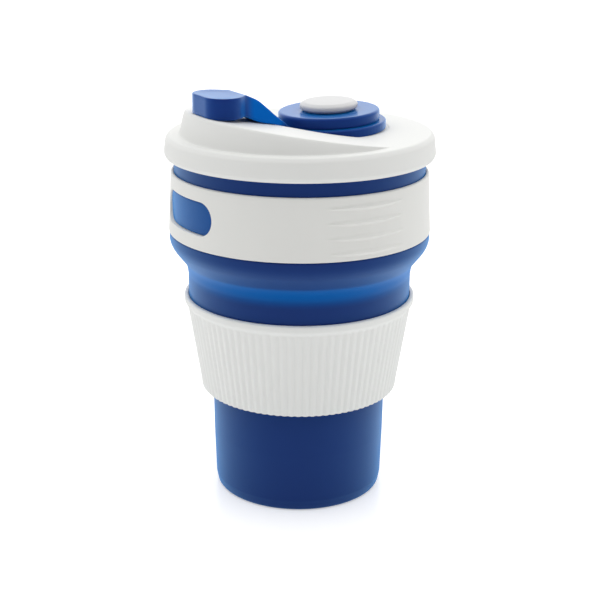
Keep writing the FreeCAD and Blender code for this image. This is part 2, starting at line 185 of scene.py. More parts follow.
def lathe(name, outline, columns=240, place=Matrix.Identity(4), shape=None):
    """A closed solid of revolution. shape(angle, radius, height) may change each radius."""
    verts = []
    for column in range(columns):
        angle = TURN * column / columns
        for point in outline:
            radius = point.x if shape is None else shape(angle, point.x, point.y)
            spot = Vector((radius * math.cos(angle), radius * math.sin(angle), point.y))
            verts.append(place @ spot)
    rows = len(outline)
    faces = []
    for column in range(columns):
        ahead = (column + 1) % columns
        for row in range(rows):
            up = (row + 1) % rows
            if outline[row].x < 1e-9 and outline[up].x < 1e-9:
                continue
            quad = (column * rows + row, ahead * rows + row, ahead * rows + up, column * rows + up)
            faces.append(quad)
    return make_object(name, verts, faces)


# ---- materials ----


def new_material(name, color, roughness, specular):
    material = bpy.data.materials.new(name)
    material.use_nodes = True
    shader = material.node_tree.nodes["Principled BSDF"]
    shader.inputs["Base Color"].default_value = (*color, 1)
    shader.inputs["Roughness"].default_value = roughness
    shader.inputs["Specular IOR Level"].default_value = specular
    return material, material.node_tree, shader


def add_grain(tree, shader, scale, depth, rough_spread):
    """Moulded grain: a fine bump and a slow drift of roughness."""
    place = tree.nodes.new("ShaderNodeTexCoord")
    fine = tree.nodes.new("ShaderNodeTexNoise")
    fine.inputs["Scale"].default_value = scale
    fine.inputs["Detail"].default_value = 3
    bump = tree.nodes.new("ShaderNodeBump")
    bump.inputs["Strength"].default_value = 0.35
    bump.inputs["Distance"].default_value = depth
    tree.links.new(place.outputs["Object"], fine.inputs["Vector"])
    tree.links.new(fine.outputs["Fac"], bump.inputs["Height"])
    tree.links.new(bump.outputs["Normal"], shader.inputs["Normal"])
    slow = tree.nodes.new("ShaderNodeTexNoise")
    slow.inputs["Scale"].default_value = 45
    slow.inputs["Detail"].default_value = 2
    spread = tree.nodes.new("ShaderNodeMapRange")
    base = shader.inputs["Roughness"].default_value
    spread.inputs["To Min"].default_value = base - rough_spread
    spread.inputs["To Max"].default_value = base + rough_spread
    tree.links.new(place.outputs["Object"], slow.inputs["Vector"])
    tree.links.new(slow.outputs["Fac"], spread.inputs["Value"])
    tree.links.new(spread.outputs["Result"], shader.inputs["Roughness"])


def tint_by_noise(tree, shader, color, lighter, scale):
    """Slow variation between two close colours, as moulded colour has."""
    place = tree.nodes.new("ShaderNodeTexCoord")
    noise = tree.nodes.new("ShaderNodeTexNoise")
    noise.inputs["Scale"].default_value = scale
    mix = tree.nodes.new("ShaderNodeMix")
    mix.data_type = "RGBA"
    mix.inputs["A"].default_value = (*color, 1)
    mix.inputs["B"].default_value = (*lighter, 1)
    tree.links.new(place.outputs["Object"], noise.inputs["Vector"])
    tree.links.new(noise.outputs["Fac"], mix.inputs["Factor"])
    tree.links.new(mix.outputs["Result"], shader.inputs["Base Color"])
    return mix


def silicone(name, color, lighter, glow, roughness, specular, patches, sheen):
    """Blue silicone. Where the painted glow attribute is 1, a brighter blue is painted into the
    colour: a painted glow standing in for light shining through the thin wall.
    """
    material, tree, shader = new_material(name, color, roughness, specular)
    mix = tint_by_noise(tree, shader, color, lighter, patches)
    # painted glow: mixes the base colour toward a bright blue where light is painted as shining
    # through
    painted_glow = tree.nodes.new("ShaderNodeAttribute")
    painted_glow.attribute_name = "painted_glow"
    through = tree.nodes.new("ShaderNodeMix")
    through.data_type = "RGBA"
    through.inputs["B"].default_value = (*glow, 1)
    tree.links.new(painted_glow.outputs["Fac"], through.inputs["Factor"])
    tree.links.new(mix.outputs["Result"], through.inputs["A"])
    tree.links.new(through.outputs["Result"], shader.inputs["Base Color"])
    shader.inputs["Sheen Weight"].default_value = 0.9
    shader.inputs["Sheen Roughness"].default_value = 0.5
    shader.inputs["Sheen Tint"].default_value = (*sheen, 1)
    shader.inputs["Specular Tint"].default_value = (0.05, 0.36, 1.0, 1)
    return material, tree, shader


def body_silicone():
    # the third colour is the painted glow of light shining through the thin wall
    material, tree, shader = silicone(
        "blue_silicone", (0.0145, 0.0140, 0.104), (0.0155, 0.0155, 0.111), (0.001, 0.085, 0.35),
        roughness=0.32, specular=0.6, patches=30, sheen=(0.0, 0.38, 1.0))
    add_grain(tree, shader, 2600, 0.00003, 0.04)
    return material


def closure_silicone():
    """A brighter blue, with a polish that shows at grazing angles only."""
    # the third colour is the painted glow of light shining through the thin strap
    material, tree, shader = silicone(
        "closure_silicone", (0.0125, 0.027, 0.172), (0.014, 0.029, 0.182), (0.0, 0.13, 0.56),
        roughness=0.3, specular=0.4, patches=60, sheen=(0.0, 0.32, 0.95))
    shader.inputs["Coat Roughness"].default_value = 0.16
    grazing = tree.nodes.new("ShaderNodeLayerWeight")
    polish = tree.nodes.new("ShaderNodeMapRange")
    polish.inputs["From Min"].default_value = 0.5
    polish.inputs["From Max"].default_value = 0.85
    tree.links.new(grazing.outputs["Facing"], polish.inputs["Value"])
    tree.links.new(polish.outputs["Result"], shader.inputs["Coat Weight"])
    add_grain(tree, shader, 3000, 0.00002, 0.03)
    return material


def plastic_material(name, color, roughness, grain, depth):
    material, tree, shader = new_material(name, color, roughness, 0.45)
    lighter = tuple(min(1, c * 1.02) for c in color)
    tint_by_noise(tree, shader, color, lighter, 40)
    add_grain(tree, shader, grain, depth, 0.03)
    return material


BLUE = body_silicone()
CLOSURE_BLUE = closure_silicone()
COLLAR_WHITE = plastic_material("collar_plastic", (0.79, 0.792, 0.765), 0.46, 2400, 0.00003)
SLEEVE_WHITE = plastic_material("sleeve_plastic", (0.84, 0.85, 0.83), 0.52, 2000, 0.00004)
LID_WHITE = plastic_material("lid_plastic", (0.80, 0.805, 0.785), 0.55, 2600, 0.00002)
KNOB_WHITE = plastic_material("knob_plastic", (0.68, 0.68, 0.68), 0.5, 2600, 0.00002)


def dress(obj, material, body, slot, *replaced):
    """Gives a finished rigid piece its material and body, and hides what it replaces. The slot is
    not used.
    """
    obj.data.materials.clear()
    obj.data.materials.append(material)
    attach(obj, body)
    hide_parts(*replaced)
    return obj


# ---- silicone body ----


def paint_glow(obj, amount):
    """Writes the painted glow attribute from a function of position: how much light is painted as
    shining through the wall.
    """
    mesh = obj.data
    values = [amount(v.co) for v in mesh.vertices]
    mesh.attributes.new("painted_glow", "FLOAT", "POINT").data.foreach_set("value", values)


def smooth(edge0, edge1, value):
    t = min(1, max(0, (value - edge0) / (edge1 - edge0)))
    return t * t * (3 - 2 * t)


def band(bottom, top, soft, value):
    """1 between two heights, fading to 0 over soft at each side."""
    return smooth(bottom - soft, bottom, value) * (1 - smooth(top, top + soft, value))


def make_cup_lower():
    """Floor, lower wall, hidden fold and the lower part of the middle wall."""
    corners = [
        (0, 0.8 * MM, 0),
        (22.0 * MM, 0.8 * MM, 0.5 * MM),
        (22.8 * MM, 0, 0.4 * MM),
        (28.6 * MM, 0, 1.3 * MM),
        (29.3 * MM, 3.6 * MM, 4 * MM),
        (29.8 * MM, 20 * MM, 20 * MM),
        (BASE_RADIUS, BASE_TOP, 2.5 * MM),
        (FOLD_RADIUS, FOLD_TOP, 3 * MM),
        (SEAM_RADIUS, SEAM, 0),
        (SEAM_RADIUS - WALL, SEAM, 0),
        (FOLD_RADIUS - WALL, FOLD_TOP + 0.6 * MM, 0.8 * MM),
        (FOLD_RADIUS - MEMBRANE, FOLD_TOP - 1.2 * MM, 0.8 * MM),
        (BASE_RADIUS - MEMBRANE, BASE_TOP + 0.8 * MM, 0.8 * MM),
        (BASE_RADIUS - WALL, BASE_TOP - 0.8 * MM, 0.8 * MM),
        (27.4 * MM, 3.0 * MM, 3 * MM),
        (0, 3.0 * MM, 0),
    ]
    obj = lathe("cup_lower", divided(rounded(corners), 1.1 * MM))
    obj.data.materials.append(BLUE)
    # painted glow of light shining through the thin membrane of the hidden fold
    paint_glow(obj, lambda p: band(BASE_TOP, FOLD_TOP, 1.5 * MM, p.z))
    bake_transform(obj)
    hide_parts("base_section", "lower_fold")
    return obj


def make_cup_upper():
    """Middle wall above the seam, visible shoulder fold, upper wall and rim bead."""
    inner = UPPER_WALL_RADIUS - WALL
    corners = [
        (SEAM_RADIUS, SEAM, 0),
        (36.9 * MM, 66.0 * MM, 2 * MM),
        (37.95 * MM, 69.3 * MM, 2 * MM),
        (MIDDLE_RADIUS, 77.6 * MM, 6 * MM),
        (38.6 * MM, 81.2 * MM, 7.5 * MM),
        (43.0 * MM, 86.8 * MM, 12 * MM),
        (BAND_RADIUS, SHOULDER_TOP + 0.2 * MM, 6.5 * MM),
        (BAND_RADIUS, COLLAR_LOW, 0.5 * MM),
        (UPPER_WALL_RADIUS, COLLAR_LOW, 0.1 * MM),
        (UPPER_WALL_RADIUS, 117.2 * MM, 0.5 * MM),
        (BEAD_RADIUS, 118.6 * MM, 0.6 * MM),
        (BEAD_RADIUS, CUP_TOP, 1.2 * MM),
        (inner, CUP_TOP, 0.9 * MM),
        (inner, 94.4 * MM, 3 * MM),
        (BAND_RADIUS - WALL, 91.0 * MM, 2 * MM),
        (BAND_RADIUS - WALL, SHOULDER_TOP + 0.4 * MM, 2 * MM),
        (42.0 * MM, 87.5 * MM, 6 * MM),
        (37.7 * MM, 82.0 * MM, 6 * MM),
        (MIDDLE_RADIUS - MEMBRANE, 79.4 * MM, 2 * MM),
        (MIDDLE_RADIUS - WALL, 76.5 * MM, 2 * MM),
        (MIDDLE_RADIUS - WALL, 70.0 * MM, 1.5 * MM),
        (36.9 * MM - WALL, 66.2 * MM, 1.5 * MM),
        (SEAM_RADIUS - WALL, SEAM, 0),
    ]
    obj = lathe("cup_upper", divided(rounded(corners), 1.0 * MM), columns=288)
    obj.data.materials.append(BLUE)

    def glow_band(p):
        """Painted glow of light shining through the thin wall at the fold: grows up to the fold
        and ends where the shoulder leans outwards.
        """
        return smooth(75.0 * MM, 79.8 * MM, p.z) * (1 - smooth(81.4 * MM, 82.8 * MM, p.z))

    paint_glow(obj, glow_band)
    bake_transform(obj)
    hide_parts("middle_section", "upper_fold", "upper_section")
    return obj


def oblong_half_height(x, half_length, radius):
    """Half the height of an oblong with round ends, at a distance from its middle."""
    over = abs(x) - (half_length - radius)
    if over <= 0:
        return radius
    return math.sqrt(max(0, radius * radius - over * over))


def window_steps(count):
    """Positions from -1 to 1, closer together near the ends."""
    return [-math.cos(math.pi * k / count) for k in range(count + 1)]


PAD_GAP = 0.12 * MM
PAD_RISE = 0.8 * MM
# share of painted glow, light painted as shining through the pad
PAD_GLOW = 0.35


def make_window_pad(name, side):
    """A pad of the upper wall that stands almost flush in a window of the collar."""
    half = WINDOW_HALF - PAD_GAP
    radius = WINDOW_RADIUS - PAD_GAP
    rings = (
        (0, UPPER_WALL_RADIUS - 0.3 * MM),
        (0, UPPER_WALL_RADIUS + 0.45 * MM),
        (0.12 * MM, UPPER_WALL_RADIUS + 0.68 * MM),
        (0.35 * MM, UPPER_WALL_RADIUS + PAD_RISE),
    )
    steps = window_steps(64)
    levels = [k / 12 for k in range(-12, 13)]
    verts = []
    faces = []

    def spot(x, z, r):
        angle = math.asin(x / (UPPER_WALL_RADIUS + PAD_RISE))
        return Vector((r * math.sin(angle), side * r * math.cos(angle), z))

    def edge_loop(inset, r):
        loop = []
        for sign in (-1, 1):
            for u in (steps if sign < 0 else reversed(steps)):
                x = u * (half - inset)
                h = oblong_half_height(x, half - inset, radius - inset)
                loop.append(spot(x, WINDOW_HEIGHT + sign * h, r))
        return loop

    loops = [edge_loop(inset, r) for inset, r in rings]
    count = len(loops[0])
    for loop in loops:
        verts += loop
    for ring in range(len(loops) - 1):
        for k in range(count):
            ahead = (k + 1) % count
            here = ring * count
            faces.append((here + k, here + ahead, here + count + ahead, here + count + k))
    inset, r = rings[-1]
    start = len(verts)
    for u in steps:
        x = u * (half - inset)
        h = oblong_half_height(x, half - inset, radius - inset)
        verts += [spot(x, WINDOW_HEIGHT + level * h, r) for level in levels]
    rows = len(levels)
    for column in range(len(steps) - 1):
        for row in range(rows - 1):
            a = start + column * rows + row
            faces.append((a, a + rows, a + rows + 1, a + 1))
    obj = make_object(name, verts, faces)
    paint_glow(obj, lambda p: PAD_GLOW)
    return dress(obj, BLUE, "upper", "silicone_blue")


# ---- collar ----

RIDGE_HEIGHTS = [102.1 * MM + k * 4.8 * MM for k in (-1.5, -0.5, 0.5, 1.5)]
RIDGE_SPAN = math.radians(18.5)
RIDGE_HEIGHT = 0.55 * MM
RIDGE_HALF_WIDTH = 1.1 * MM
PARTING_LINE = 0.05 * MM
PARTING_HALF_WIDTH = math.radians(0.35)
WINDOW_BEVEL = 0.3 * MM
COLLAR_EDGE = 0.55 * MM


def ridge_height(angle, height):
    """Lens-shaped grip ridges at +X and -X, with the mould's parting line through them."""
    off = abs(math.remainder(angle, math.pi))
    total = PARTING_LINE * max(0, 1 - off / PARTING_HALF_WIDTH)
    if off < RIDGE_SPAN:
        fade = 1 - (off / RIDGE_SPAN) ** 2
        width = RIDGE_HALF_WIDTH * (0.35 + 0.65 * fade)
        for ridge in RIDGE_HEIGHTS:
            away = (height - ridge) / width
            if abs(away) < 1:
                total += RIDGE_HEIGHT * math.sqrt(fade) * (1 + math.cos(math.pi * away)) / 2
    return total


def collar_columns():
    """Angles round the collar, as (angle, window side or 0, place across the window)."""
    span = math.asin((WINDOW_HALF + WINDOW_BEVEL) / COLLAR_RADIUS)
    plain = 110  # columns between the windows
    columns = []
    for middle, side in ((-math.pi / 2, -1), (math.pi / 2, 1)):
        for u in window_steps(56):
            columns.append((middle + span * u, side, u))
        gap_start = middle + span
        gap = math.pi - 2 * span
        angles = [gap_start + gap * k / plain for k in range(1, plain)]
        centre = middle + math.pi / 2
        angles = [a for a in angles if abs(a - centre) > math.radians(0.6)]
        angles += [centre - PARTING_HALF_WIDTH, centre, centre + PARTING_HALF_WIDTH]
        columns += [(a, 0, 0) for a in sorted(angles)]
    return columns


def make_collar():
    """The collar as a ring of columns that part above and below each window."""
    bevel = WINDOW_BEVEL
    inner = UPPER_WALL_RADIUS + 0.05 * MM
    height = COLLAR_TOP - COLLAR_LOW
    rows = 44
    verts = []
    faces = []

    def outer_radius(z):
        return COLLAR_RADIUS + (COLLAR_TOP_RADIUS - COLLAR_RADIUS) * (z - COLLAR_LOW) / height

    def edge_round(toward, z_end):
        """The rounded edge of the ring at one end, from the outer face to the inner."""
        r = outer_radius(z_end)
        arc = [(r - COLLAR_EDGE + COLLAR_EDGE * math.cos(a),
                z_end - toward * COLLAR_EDGE * (1 - math.sin(a))) for a in quarter_turns(4)]
        return arc + [(inner + 0.2 * MM, z_end), (inner, z_end - toward * 0.2 * MM)]

    def strip(toward, z_end, z_mid, angle, mid_line):
        """Points from the window's edge, or the middle, out to an end and back on the inside."""
        arc = edge_round(toward, z_end)
        z_arc = arc[0][1]
        points = list(mid_line)
        for k in range(rows + 1):
            z = z_mid + (z_arc - z_mid) * k / rows
            points.append((outer_radius(z) + ridge_height(angle, z), z, angle))
        points += [(r, z, angle) for r, z in arc[1:]]
        return points

    columns = collar_columns()
    lines = []
    for angle, side, u in columns:
        for toward, z_end in ((-1, COLLAR_LOW), (1, COLLAR_TOP)):
            z_mid = WINDOW_HEIGHT
            z_in = WINDOW_HEIGHT
            turn = angle
            if side:
                x = u * (WINDOW_HALF + bevel)
                z_mid += toward * oblong_half_height(x, WINDOW_HALF + bevel,
                                                     WINDOW_RADIUS + bevel)
                x = u * WINDOW_HALF
                z_in += toward * oblong_half_height(x, WINDOW_HALF, WINDOW_RADIUS)
                middle = side * math.pi / 2
                turn = middle + math.asin(WINDOW_HALF / COLLAR_RADIUS) * u
            r = outer_radius(z_mid)
            halfway = (z_in + (z_mid - z_in) * 0.3, turn + (angle - turn) * 0.3)
            mid_line = [
                (inner, z_in, turn),
                (r - bevel, z_in, turn),
                (r - 0.3 * bevel, halfway[0], halfway[1]),
            ]
            lines.append(strip(toward, z_end, z_mid, angle, mid_line))
    length = len(lines[0])
    for line in lines:
        verts += [Vector((r * math.cos(a), r * math.sin(a), z)) for r, z, a in line]
    count = len(columns)
    for k in range(count):
        ahead = (k + 1) % count
        in_window = columns[k][1] != 0 and columns[ahead][1] != 0
        for half in (0, 1):
            here = (2 * k + half) * length
            there = (2 * ahead + half) * length
            first = 0 if in_window else 3
            for row in range(first, length - 1):
                faces.append((here + row, there + row, there + row + 1, here + row + 1))
        low_end = 2 * k * length + length - 1
        low_next = 2 * ahead * length + length - 1
        high_end = low_end + length
        high_next = low_next + length
        if in_window:
            faces.append((low_end, low_next, 2 * ahead * length, 2 * k * length))
            faces.append((high_end, high_next, (2 * ahead + 1) * length, (2 * k + 1) * length))
        else:
            faces.append((low_end, low_next, high_next, high_end))
    return dress(make_object("collar", verts, faces), COLLAR_WHITE, "upper", "plastic_white",
                 "grip_collar")


# ---- sleeve ----


FLUTES = 90
FLUTE_DEPTH = 0.42 * MM
SLEEVE_FLARE = 0.16  # widening of the sleeve's inside with height


def fluted(angle, radius, height):
    """Soft vertical grooves on the outside only, which end under the rim."""
    wall_inside = FOLD_RADIUS + (height - FOLD_TOP) * SLEEVE_FLARE
    if radius < wall_inside + 0.7 * MM:
        return radius
    phase = 0.5 + 0.5 * math.cos(FLUTES * angle)
    groove = phase ** 1.6
    fade = 1 - smooth(65.6 * MM, 67.6 * MM, height)
    return radius - FLUTE_DEPTH * groove * fade


def make_sleeve():
    corners = [
        (SLEEVE_RADIUS - 7.3 * MM, SLEEVE_LOW, 0.4 * MM),
        (SLEEVE_RADIUS - 5.6 * MM, SLEEVE_LOW, 0.75 * MM),
        (34.25 * MM, 39.4 * MM, 3 * MM),
        (37.85 * MM, 62.2 * MM, 4 * MM),
        (38.6 * MM, 66.6 * MM, 2 * MM),
        (SLEEVE_RADIUS, 67.9 * MM, 1.2 * MM),
        (SLEEVE_RADIUS, SLEEVE_TOP, 0.95 * MM),
        (MIDDLE_RADIUS + 0.06 * MM, SLEEVE_TOP, 0.35 * MM),
        (MIDDLE_RADIUS + 0.06 * MM, 69.4 * MM, 0.5 * MM),
        (36.98 * MM, 66.0 * MM, 0.5 * MM),
        (FOLD_RADIUS + 0.08 * MM, FOLD_TOP, 0.5 * MM),
    ]
    outline = divided(rounded(corners), 1.6 * MM)
    obj = lathe("sleeve", outline, columns=FLUTES * 8, shape=fluted)
    return dress(obj, SLEEVE_WHITE, "middle", "sleeve_white", "heat_sleeve")


# ---- lid: plan meshes with a height for every point, in millimetres ----

PLATE_HEIGHT = 125.7
PLATE_LEAN = 0.012  # rise per millimetre towards the back
LID_PLATE_EDGE = 41.6  # where the plan mesh of the lid's top meets the turned rim
UNDERSIDE = 123.4
UNDERSIDE_EDGE = 37.2
SHELL = 2.0  # the lid's thickness at its two holes
WEDGE_AXIS = 127.5
WEDGE_ANGLE = math.radians(9.26)
WEDGE_FOOT = 39.95
WEDGE_STEEPNESS = 6.45
HOLE_DISTANCE = 30.0
HOLE_RADIUS = 5.06
HOLE_ROUND = 0.5
HOLE_COLUMNS = 72
SEAT = Vector((0, 11.35, 125.35))
SEAT_TILT = math.radians(2.7)
SEAT_PLACE = Matrix.Translation(SEAT * MM) @ Matrix.Rotation(SEAT_TILT, 4, "X")
PIN_RADIUS = 2.5
PIN_HOLE = 2.56


def smooth_min(a, b, k):
    h = max(k - abs(a - b), 0) / k
    return min(a, b) - h * h * k / 4


def smooth_max(a, b, k):
    return -smooth_min(-a, -b, k)


def incline(y):
    return WEDGE_AXIS - y * math.tan(WEDGE_ANGLE)


def plate_height(y):
    return PLATE_HEIGHT + PLATE_LEAN * y


def seat_height(y):
    return SEAT.z + (y - SEAT.y) * math.tan(SEAT_TILT)


RECESS_RADIUS = 20.5
RECESS_END_RADIUS = 7.0
RECESS_END = 19.0  # from the big circle's centre to the small one's
RECESS_STEEPNESS = 12


def recess_distance(x, y):
    """Signed distance to the teardrop plan of the recess, negative inside."""
    lean = (RECESS_RADIUS - RECESS_END_RADIUS) / RECESS_END
    rise = math.sqrt(1 - lean * lean)
    across, along = abs(x), SEAT.y - y
    k = rise * along - lean * across
    if k < 0:
        return math.hypot(across, along) - RECESS_RADIUS
    if k > rise * RECESS_END:
        return math.hypot(across, along - RECESS_END) - RECESS_END_RADIUS
    return across * rise + along * lean - RECESS_RADIUS


def recess_loop(offset, step=0.8):
    """The teardrop's outline, grown by offset."""
    big = RECESS_RADIUS + offset
    small = RECESS_END_RADIUS + offset
    lean = math.acos((big - small) / RECESS_END)
    loop = []
    count = round(2 * (math.pi - lean) * big / step)
    for k in range(count + 1):
        a = lean + 2 * (math.pi - lean) * k / count
        loop.append(Vector((big * math.sin(a), SEAT.y - big * math.cos(a))))
    end = Vector((-small * math.sin(lean), SEAT.y - RECESS_END - small * math.cos(lean)))
    start = loop[-1]
    straight = round((end - start).length / step)
    loop += [start.lerp(end, k / straight) for k in range(1, straight)]
    around = round(2 * lean * small / step)
    for k in range(around + 1):
        a = -lean + 2 * lean * k / around
        loop.append(Vector((small * math.sin(a), SEAT.y - RECESS_END - small * math.cos(a))))
    start = loop[-1]
    end = loop[0]
    loop += [start.lerp(end, k / straight) for k in range(1, straight)]
    return loop


def circle_loop(radius, count):
    return [Vector((radius * math.cos(TURN * k / count), radius * math.sin(TURN * k / count)))
            for k in range(count)]


def lid_top(x, y):
    """Plate, wedge with its rounded shoulder and concave foot, and recess."""
    r = math.hypot(x, y)
    plate = plate_height(y)
    rise = incline(y) - plate
    wall = plate + (WEDGE_FOOT - r) * WEDGE_STEEPNESS
    wedge = smooth_min(incline(y), wall, 0.8 + 7.0 * smooth(0.3, 5.0, rise))
    foot = smooth(WEDGE_FOOT - 2.4, WEDGE_FOOT - 1.0, r) * smooth(0.4, 4.0, rise)
    top = smooth_max(plate, wedge, 0.3 + 3.0 * foot)
    seat = seat_height(y)
    side = smooth_max(seat, seat + RECESS_STEEPNESS * (recess_distance(x, y) + 0.35), 1.6)
    rounding = 0.8 + 4.2 * smooth(0.4, 3.0, top - seat) * smooth(-12.0, -3.0, y)
    return smooth_min(top, side, rounding)


def lid_under(x, y):
    """Plate, hollow under the wedge, and the pad under the recess."""
    r = math.hypot(x, y)
    hollow = smooth_min(incline(y) - 2.04, UNDERSIDE + (UNDERSIDE_EDGE - r) * 7.2, 2.0)
    plate = smooth_max(UNDERSIDE, hollow, 0.3)
    pad = seat_height(y) - SHELL
    side = smooth_max(pad, pad + RECESS_STEEPNESS * (recess_distance(x, y) - 1.6), 1.0)
    return smooth_min(plate, side, 0.4)


def tilted_loop(centre, angle, radius, count=HOLE_COLUMNS):
    """A circle in a plane tilted about X, as points."""
    along = Vector((0, -math.cos(angle), math.sin(angle)))
    across = Vector((1, 0, 0))
    return [centre + radius * (math.cos(TURN * k / count) * across
                               + math.sin(TURN * k / count) * along) for k in range(count)]


def grid_points(half_x, low_y, high_y, step):
    rows = int((high_y - low_y) / (step * 0.866)) + 1
    columns = int(2 * half_x / step) + 1
    return [Vector((-half_x + (i + 0.5 * (j % 2)) * step, low_y + j * step * 0.866))
            for j in range(rows) for i in range(columns)]


def plan_mesh(loops, scatter, height, is_open=None):
    """Triangles over a plan, inside loops[0], with each corner lifted to its height."""
    points = []
    edges = []
    for loop in loops:
        first = len(points)
        points += [Vector((p.x, p.y)) for p in loop]
        count = len(loop)
        edges += [(first + k, first + (k + 1) % count) for k in range(count)]
    points += scatter
    result = delaunay_2d_cdt(points, edges, [], 1, 1e-6, False)
    flat, _, triangles = result[:3]
    verts = [Vector((p.x, p.y, height(p.x, p.y))) for p in flat]
    faces = []
    for face in triangles:
        middle = sum((flat[i] for i in face), Vector((0, 0))) / len(face)
        if is_open is None or not is_open(middle.x, middle.y):
            faces.append(tuple(face))
    return verts, faces


class Builder:
    """Collects patches of points in millimetres into one mesh."""

    def __init__(self):
        self.verts = []
        self.faces = []

    def add(self, verts, faces):
        start = len(self.verts)
        self.verts += verts
        self.faces += [tuple(start + i for i in face) for face in faces]

    def add_rows(self, rows):
        """Quads between closed rows with the same number of points."""
        verts = [p for row in rows for p in row]
        count = len(rows[0])
        faces = []
        for j in range(len(rows) - 1):
            for k in range(count):
                ahead = (k + 1) % count
                faces.append((j * count + k, j * count + ahead,
                              (j + 1) * count + ahead, (j + 1) * count + k))
        self.add(verts, faces)

    def add_cap(self, row):
        centre = sum(row, Vector((0, 0, 0))) / len(row)
        count = len(row)
        self.add(list(row) + [centre], [(k, (k + 1) % count, count) for k in range(count)])

    def finish(self, name):
        return make_object(name, [v * MM for v in self.verts], self.faces)


def on_top(loop, height):
    return [Vector((p.x, p.y, height(p.x, p.y))) for p in loop]


def tilted_tube(centre, angle, rings):
    """Rows of circles about a tilted axis, from (radius, distance along the axis)."""
    normal = Vector((0, math.sin(angle), math.cos(angle)))
    return [tilted_loop(centre + normal * rise, angle, radius) for radius, rise in rings]


RIM_COLUMNS = 288
HOLE_CENTRE = Vector((0, -HOLE_DISTANCE, incline(-HOLE_DISTANCE)))
HOLE_AXIS = Vector((0, math.sin(WEDGE_ANGLE), math.cos(WEDGE_ANGLE)))
UNDER_HOLE = HOLE_CENTRE - HOLE_AXIS * SHELL
SEAT_AXIS = Vector((0, -math.sin(SEAT_TILT), math.cos(SEAT_TILT)))
UNDER_SEAT = SEAT - SEAT_AXIS * SHELL


def from_hole(x, y, centre):
    """Distance from the sip hole's axis, in the plane that is square to it."""
    return math.hypot(x, (y - centre.y) / math.cos(WEDGE_ANGLE))


def add_lid_top(lid):
    def is_open(x, y, grow=HOLE_ROUND):
        return (from_hole(x, y, HOLE_CENTRE) < HOLE_RADIUS + grow
                or math.hypot(x, y - SEAT.y) < PIN_HOLE)

    # points lie closest where the wedge's wall and the recess's side turn
    steps_in = [-1.2, -0.8, -0.5, -0.3, -0.15, -0.02, 0.1, 0.2, 0.3, 0.4, 0.5, 0.6, 0.7, 0.8, 0.9,
                1.0, 1.1, 1.22, 1.35, 1.5, 1.65, 1.85, 2.1, 2.4, 2.8, 3.4]
    offsets = [2.2, 1.4, 0.9, 0.6, 0.4, 0.28, 0.18, 0.1, 0.03, -0.04, -0.11, -0.18, -0.25, -0.33,
               -0.45, -0.6, -0.9, -1.4]
    loops = [circle_loop(LID_PLATE_EDGE, RIM_COLUMNS)]
    loops += [circle_loop(WEDGE_FOOT - step, RIM_COLUMNS) for step in steps_in]
    loops += [recess_loop(offset) for offset in offsets]
    loops += [tilted_loop(HOLE_CENTRE, WEDGE_ANGLE, HOLE_RADIUS + HOLE_ROUND),
              tilted_loop(HOLE_CENTRE, WEDGE_ANGLE, HOLE_RADIUS + 1.2),
              tilted_loop(SEAT, -SEAT_TILT, PIN_HOLE)]
    scatter = []
    for p in grid_points(38, -38, 38, 1.05):
        d = recess_distance(p.x, p.y)
        clear = d > 2.8 or d < -2.0
        if p.length < WEDGE_FOOT - 4.0 and clear and not is_open(p.x, p.y, 1.8) \
                and math.hypot(p.x, p.y - SEAT.y) > PIN_HOLE + 0.6:
            scatter.append(p)
    lid.add(*plan_mesh(loops, scatter, lid_top, is_open))


def add_lid_under(lid):
    def height(x, y):
        """The underside, made exact at the two holes so that their walls meet it."""
        if math.hypot(x, y - UNDER_SEAT.y) < PIN_HOLE + 0.1:
            return UNDER_SEAT.z + (y - UNDER_SEAT.y) * math.tan(SEAT_TILT)
        if from_hole(x, y, UNDER_HOLE) < HOLE_RADIUS + 0.1:
            return UNDER_HOLE.z - (y - UNDER_HOLE.y) * math.tan(WEDGE_ANGLE)
        if math.hypot(x, y) > UNDERSIDE_EDGE - 0.01:
            return UNDERSIDE
        return lid_under(x, y)

    def is_open(x, y):
        return (from_hole(x, y, UNDER_HOLE) < HOLE_RADIUS
                or math.hypot(x, y - UNDER_SEAT.y) < PIN_HOLE)

    loops = [circle_loop(UNDERSIDE_EDGE, RIM_COLUMNS)]
    loops += [circle_loop(UNDERSIDE_EDGE - step, RIM_COLUMNS // 2) for step in
              (0.1, 0.22, 0.34, 0.46, 0.58, 0.7, 0.85, 1.0, 1.15, 1.3, 1.5, 1.8)]
    loops += [recess_loop(d, 1.4) for d in (2.4, 2.1, 1.95, 1.8, 1.7, 1.6, 1.45, 1.2)]
    loops += [tilted_loop(UNDER_HOLE, WEDGE_ANGLE, HOLE_RADIUS),
              tilted_loop(UNDER_SEAT, -SEAT_TILT, PIN_HOLE)]
    scatter = []
    for p in grid_points(37, -37, 37, 1.6):
        d = recess_distance(p.x, p.y)
        clear = d > 3.0 or d < 0.6
        off_hole = math.hypot(p.x, p.y - UNDER_HOLE.y) > HOLE_RADIUS + 0.8
        off_pin = math.hypot(p.x, p.y - UNDER_SEAT.y) > PIN_HOLE + 0.8
        if p.length < UNDERSIDE_EDGE - 2.4 and clear and off_hole and off_pin:
            scatter.append(p)
    lid.add(*plan_mesh(loops, scatter, height, is_open))


def add_lid_holes(lid):
    rings = [(HOLE_RADIUS + HOLE_ROUND * (1 - math.sin(a)), -HOLE_ROUND * (1 - math.cos(a)))
             for a in quarter_turns(5)]
    lid.add_rows(tilted_tube(HOLE_CENTRE, WEDGE_ANGLE, rings + [(HOLE_RADIUS, -SHELL)]))
    lid.add_rows(tilted_tube(SEAT, -SEAT_TILT, [(PIN_HOLE, 0), (PIN_HOLE, -SHELL)]))


